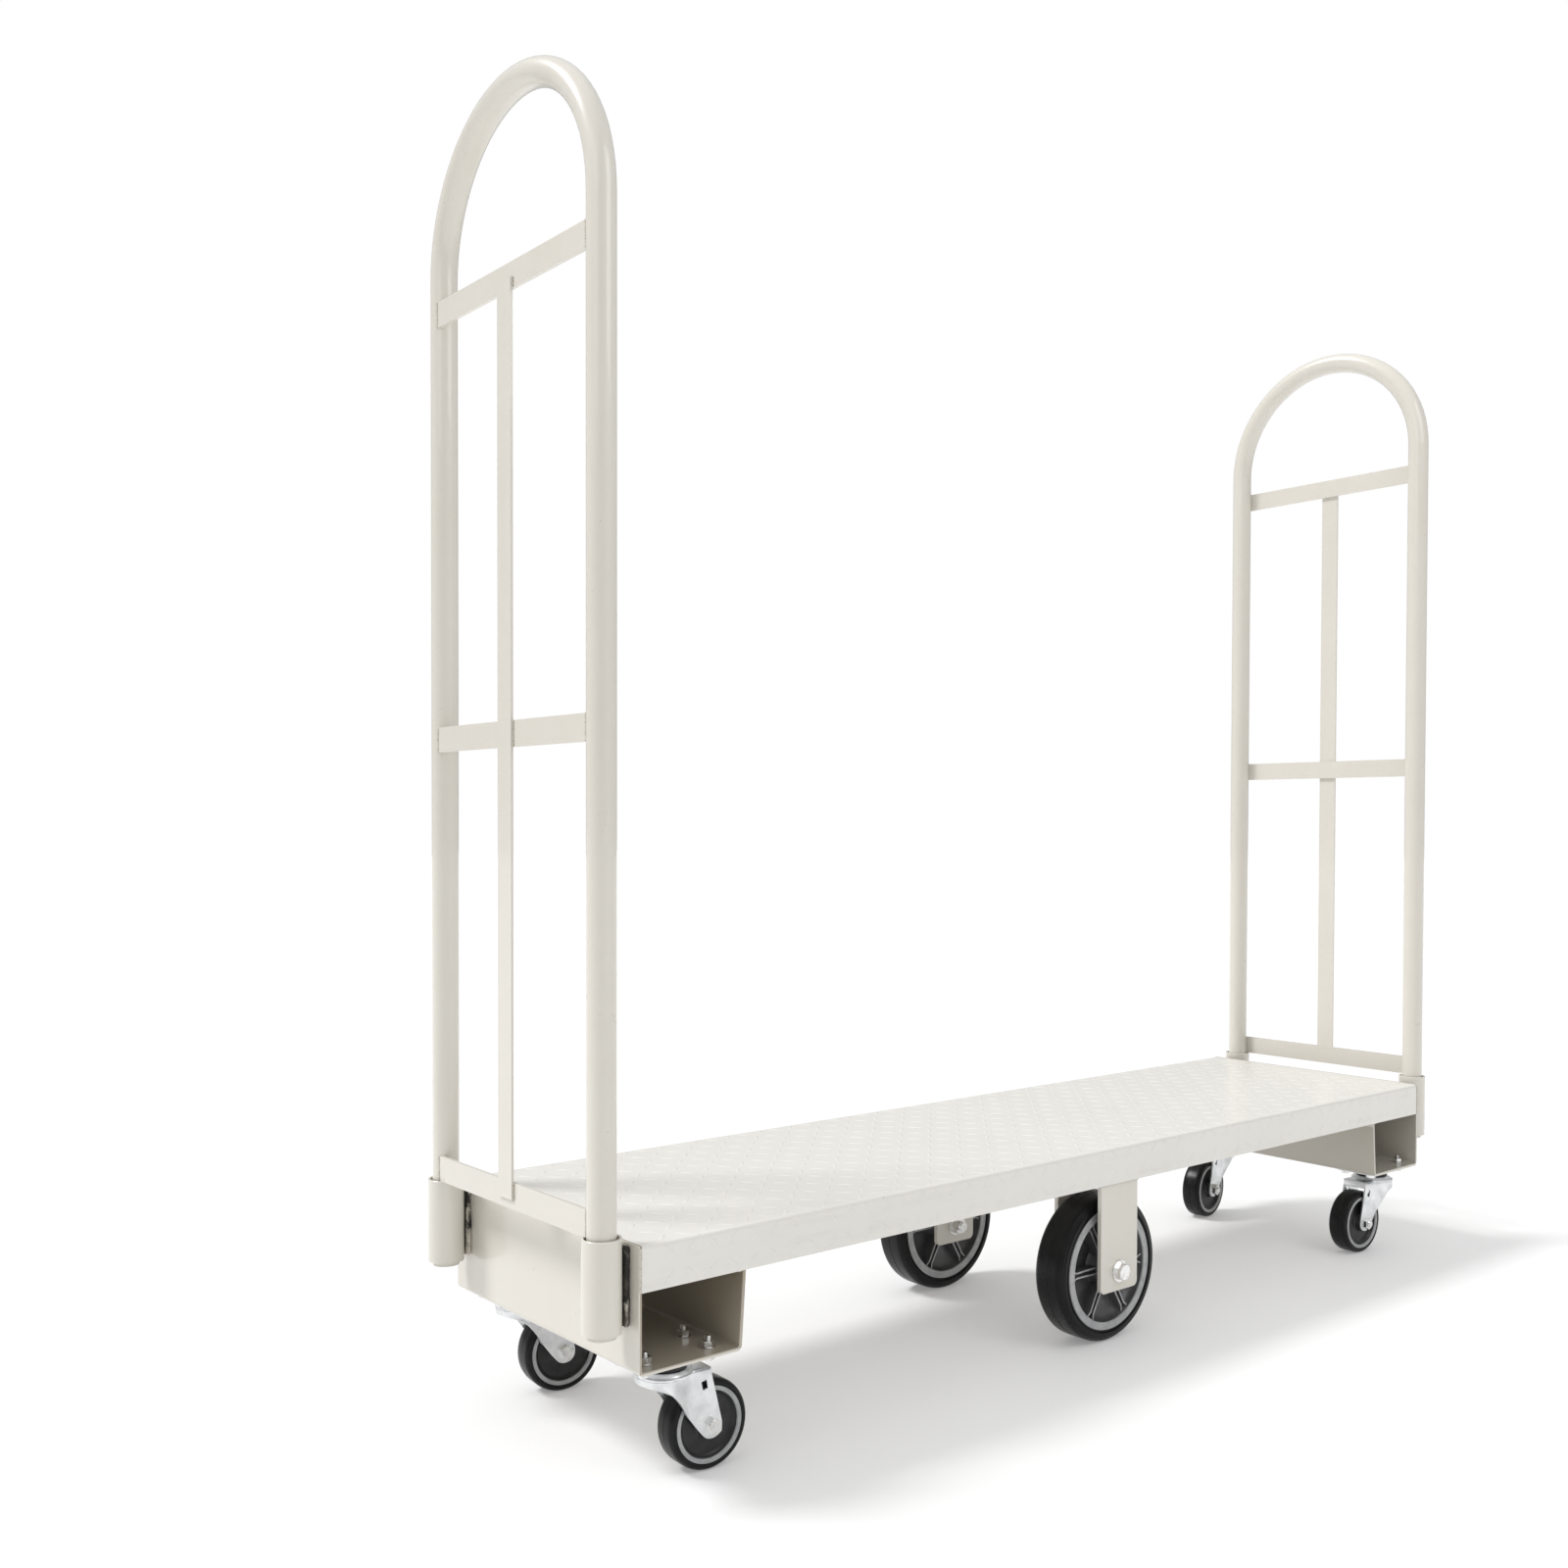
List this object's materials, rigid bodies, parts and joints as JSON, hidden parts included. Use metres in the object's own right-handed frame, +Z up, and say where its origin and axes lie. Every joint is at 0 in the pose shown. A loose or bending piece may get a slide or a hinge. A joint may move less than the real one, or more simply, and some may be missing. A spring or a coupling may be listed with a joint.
{
  "type": "flatbed platform truck",
  "caption": "Narrow flatbed truck: folded tread-plate deck on two large middle wheels and four corner swivel casters, with a lift-out tubular handle at each end.",
  "frame": {"origin": "on the floor under the middle of the deck", "axes": "+X along the truck from the front handle to the rear handle, +Y across it from left to right, +Z up"},
  "size_m": [1.691, 0.416, 1.5548],
  "materials": {
    "powder_coat": "gloss",
    "zinc_plate": "satin",
    "fastener": "satin",
    "bearing_steel": "polished",
    "tyre": "satin",
    "wheel_core": "satin",
    "seal": "matte"
  },
  "bodies": {
    "root": {"deck": "powder_coat", "end_channel_front": "powder_coat", "end_channel_rear": "powder_coat", "handle_socket_front_left": "powder_coat", "handle_socket_front_right": "powder_coat", "handle_socket_rear_left": "powder_coat", "handle_socket_rear_right": "powder_coat", "socket_packing_strips": "powder_coat", "wheel_bracket_outer_left": "powder_coat", "wheel_bracket_inner_left": "powder_coat", "wheel_bracket_outer_right": "powder_coat", "wheel_bracket_inner_right": "powder_coat", "wheel_axle_bolt_left": "fastener", "wheel_axle_bolt_right": "fastener", "wheel_axle_washers": "fastener", "wheel_axle_nuts": "fastener", "wheel_axle_spacers": "fastener", "caster_plate_front_left": "zinc_plate", "caster_plate_front_right": "zinc_plate", "caster_plate_rear_left": "zinc_plate", "caster_plate_rear_right": "zinc_plate", "caster_dust_seals": "seal", "caster_kingpins": "fastener", "caster_swivel_balls": "bearing_steel", "caster_plate_bolts": "fastener", "caster_plate_washers": "fastener", "caster_plate_nuts": "fastener"},
    "handle_front": {"handle_tube_front": "powder_coat", "handle_crossbars_front": "powder_coat", "handle_upright_front": "powder_coat"},
    "handle_rear": {"handle_tube_rear": "powder_coat", "handle_crossbars_rear": "powder_coat", "handle_upright_rear": "powder_coat"},
    "wheel_left": {"wheel_tyre_left": "tyre", "wheel_core_left": "wheel_core", "wheel_bearings_left": "bearing_steel"},
    "wheel_right": {"wheel_tyre_right": "tyre", "wheel_core_right": "wheel_core", "wheel_bearings_right": "bearing_steel"},
    "fork_front_left": {"caster_fork_front_left": "zinc_plate", "caster_axle_bolt_front_left": "fastener", "caster_axle_nut_front_left": "fastener"},
    "caster_front_left": {"caster_tyre_front_left": "tyre", "caster_core_front_left": "wheel_core"},
    "fork_front_right": {"caster_fork_front_right": "zinc_plate", "caster_axle_bolt_front_right": "fastener", "caster_axle_nut_front_right": "fastener"},
    "caster_front_right": {"caster_tyre_front_right": "tyre", "caster_core_front_right": "wheel_core"},
    "fork_rear_left": {"caster_fork_rear_left": "zinc_plate", "caster_axle_bolt_rear_left": "fastener", "caster_axle_nut_rear_left": "fastener"},
    "caster_rear_left": {"caster_tyre_rear_left": "tyre", "caster_core_rear_left": "wheel_core"},
    "fork_rear_right": {"caster_fork_rear_right": "zinc_plate", "caster_axle_bolt_rear_right": "fastener", "caster_axle_nut_rear_right": "fastener"},
    "caster_rear_right": {"caster_tyre_rear_right": "tyre", "caster_core_rear_right": "wheel_core"}
  },
  "joints": [
    {"name": "handle_front_lift", "type": "slide", "parent": "root", "child": "handle_front", "axis": [0, 0, 1], "range_m": [0, 0.105]},
    {"name": "handle_rear_lift", "type": "slide", "parent": "root", "child": "handle_rear", "axis": [0, 0, 1], "range_m": [0, 0.105]},
    {"name": "wheel_left_spin", "type": "hinge", "parent": "root", "child": "wheel_left", "pos_m": [0, -0.156, 0.1016], "axis": [0, 1, 0], "continuous": true},
    {"name": "wheel_right_spin", "type": "hinge", "parent": "root", "child": "wheel_right", "pos_m": [0, 0.156, 0.1016], "axis": [0, 1, 0], "continuous": true},
    {"name": "caster_front_left_swivel", "type": "hinge", "parent": "root", "child": "fork_front_left", "pos_m": [-0.73, -0.154, 0.12], "axis": [0, 0, 1], "continuous": true},
    {"name": "caster_front_left_spin", "type": "hinge", "parent": "fork_front_left", "child": "caster_front_left", "pos_m": [-0.68107, -0.15656, 0.0508], "axis": [-0.0523, -0.9986, 0], "continuous": true},
    {"name": "caster_front_right_swivel", "type": "hinge", "parent": "root", "child": "fork_front_right", "pos_m": [-0.73, 0.154, 0.12], "axis": [0, 0, 1], "continuous": true},
    {"name": "caster_front_right_spin", "type": "hinge", "parent": "fork_front_right", "child": "caster_front_right", "pos_m": [-0.68127, 0.14888, 0.0508], "axis": [-0.1045, -0.9945, 0], "continuous": true},
    {"name": "caster_rear_left_swivel", "type": "hinge", "parent": "root", "child": "fork_rear_left", "pos_m": [0.73, -0.154, 0.12], "axis": [0, 0, 1], "continuous": true},
    {"name": "caster_rear_left_spin", "type": "hinge", "parent": "fork_rear_left", "child": "caster_rear_left", "pos_m": [0.68107, -0.15144, 0.0508], "axis": [0.0523, 0.9986, 0], "continuous": true},
    {"name": "caster_rear_right_swivel", "type": "hinge", "parent": "root", "child": "fork_rear_right", "pos_m": [0.73, 0.154, 0.12], "axis": [0, 0, 1], "continuous": true},
    {"name": "caster_rear_right_spin", "type": "hinge", "parent": "fork_rear_right", "child": "caster_rear_right", "pos_m": [0.68137, 0.14803, 0.0508], "axis": [-0.1219, 0.9925, 0], "continuous": true}
  ]
}
